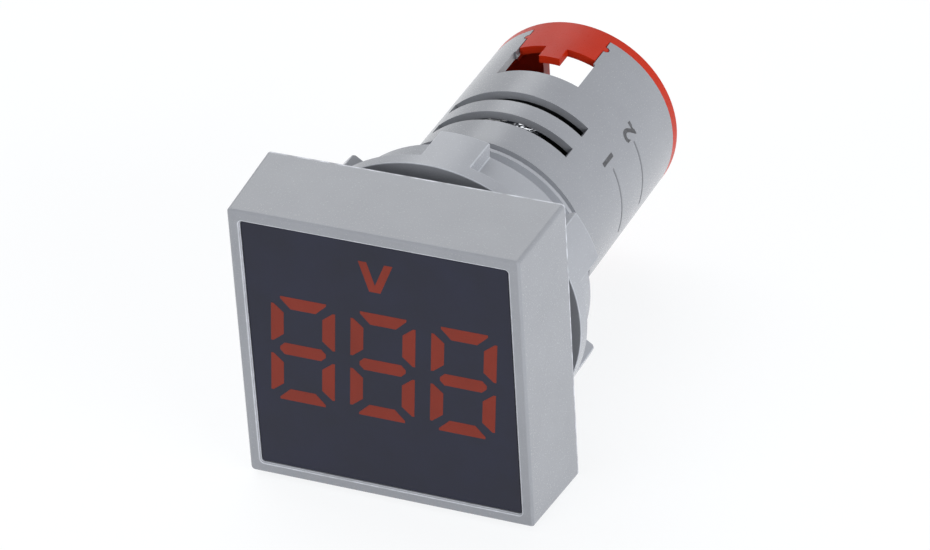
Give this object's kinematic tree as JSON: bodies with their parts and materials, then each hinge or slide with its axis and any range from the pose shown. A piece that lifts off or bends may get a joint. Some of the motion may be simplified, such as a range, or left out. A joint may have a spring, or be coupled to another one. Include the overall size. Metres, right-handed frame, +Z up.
{
  "type": "digital panel meter",
  "caption": "Square-bezel digital panel meter with a seven-segment display on a threaded barrel, held by a ring nut, with screw terminals under a rear cap.",
  "frame": {"origin": "centre of the bezel's back face, on the barrel's axis, where the meter seats on its panel", "axes": "+Y along the barrel to the terminals, +Z up, the display faces -Y"},
  "size_m": [0.0296, 0.0482, 0.0296],
  "materials": {
    "housing_grey": "satin moulded grey plastic",
    "lens_dark": "matte smoked plastic",
    "segment_red": "translucent red light guide",
    "reflector_white": "white moulded plastic",
    "board_green": "solder-masked laminate",
    "chip_black": "moulded epoxy",
    "led_white": "clear epoxy chip",
    "pin_tin": "tin-plated pin",
    "gasket_black": "matte rubber",
    "film_red_brown": "potted case",
    "can_sleeve": "plastic sleeve on an aluminium can",
    "resistor_blue": "lacquered ceramic body",
    "varistor_blue": "epoxy-dipped disc",
    "base_black": "glass-filled nylon",
    "cap_red": "satin red moulded plastic",
    "contact_brass": "plated brass",
    "screw_steel": "zinc-plated steel"
  },
  "bodies": {
    "housing": {"bezel": "housing_grey", "barrel": "housing_grey", "lens_panel": "lens_dark", "digit_left": "segment_red", "digit_middle": "segment_red", "digit_right": "segment_red", "unit_symbol": "segment_red", "reflector": "reflector_white", "display_board": "board_green", "main_board": "board_green", "led_chips": "led_white", "driver_chip": "chip_black", "microcontroller": "chip_black", "bridge_rectifier": "chip_black", "header_body": "base_black", "header_pins": "pin_tin", "gasket": "gasket_black", "film_capacitor": "film_red_brown", "electrolytic_capacitor": "can_sleeve", "dropper_resistor": "resistor_blue", "varistor": "varistor_blue", "terminal_base": "base_black", "terminal_cover": "cap_red", "terminal_plate_top": "contact_brass", "terminal_plate_bottom": "contact_brass"},
    "nut": {"ring_nut": "housing_grey"},
    "clamp_top": {"wire_clamp_top": "screw_steel"},
    "screw_top": {"terminal_screw_top": "screw_steel"},
    "clamp_bottom": {"wire_clamp_bottom": "screw_steel"},
    "screw_bottom": {"terminal_screw_bottom": "screw_steel"}
  },
  "joints": [
    {"name": "nut_travel", "type": "slide", "parent": "housing", "child": "nut", "axis": [0, 1, 0], "range_m": [-0.0014, 0.0079]},
    {"name": "clamp_lift_top", "type": "slide", "parent": "housing", "child": "clamp_top", "axis": [0, 1, 0], "range_m": [0, 0.0025]},
    {"name": "screw_turn_top", "type": "hinge", "parent": "clamp_top", "child": "screw_top", "pos_m": [0, 0.0296, 0.0047], "axis": [0, 1, 0], "range_deg": [0, 1800]},
    {"name": "clamp_lift_bottom", "type": "slide", "parent": "housing", "child": "clamp_bottom", "axis": [0, 1, 0], "range_m": [0, 0.0025]},
    {"name": "screw_turn_bottom", "type": "hinge", "parent": "clamp_bottom", "child": "screw_bottom", "pos_m": [0, 0.0296, -0.0047], "axis": [0, 1, 0], "range_deg": [0, 1800]}
  ],
  "couplings": [
    {"joint": "screw_turn_top", "follows": "clamp_lift_top", "rad_per_m": 12566},
    {"joint": "screw_turn_bottom", "follows": "clamp_lift_bottom", "rad_per_m": 12566}
  ]
}
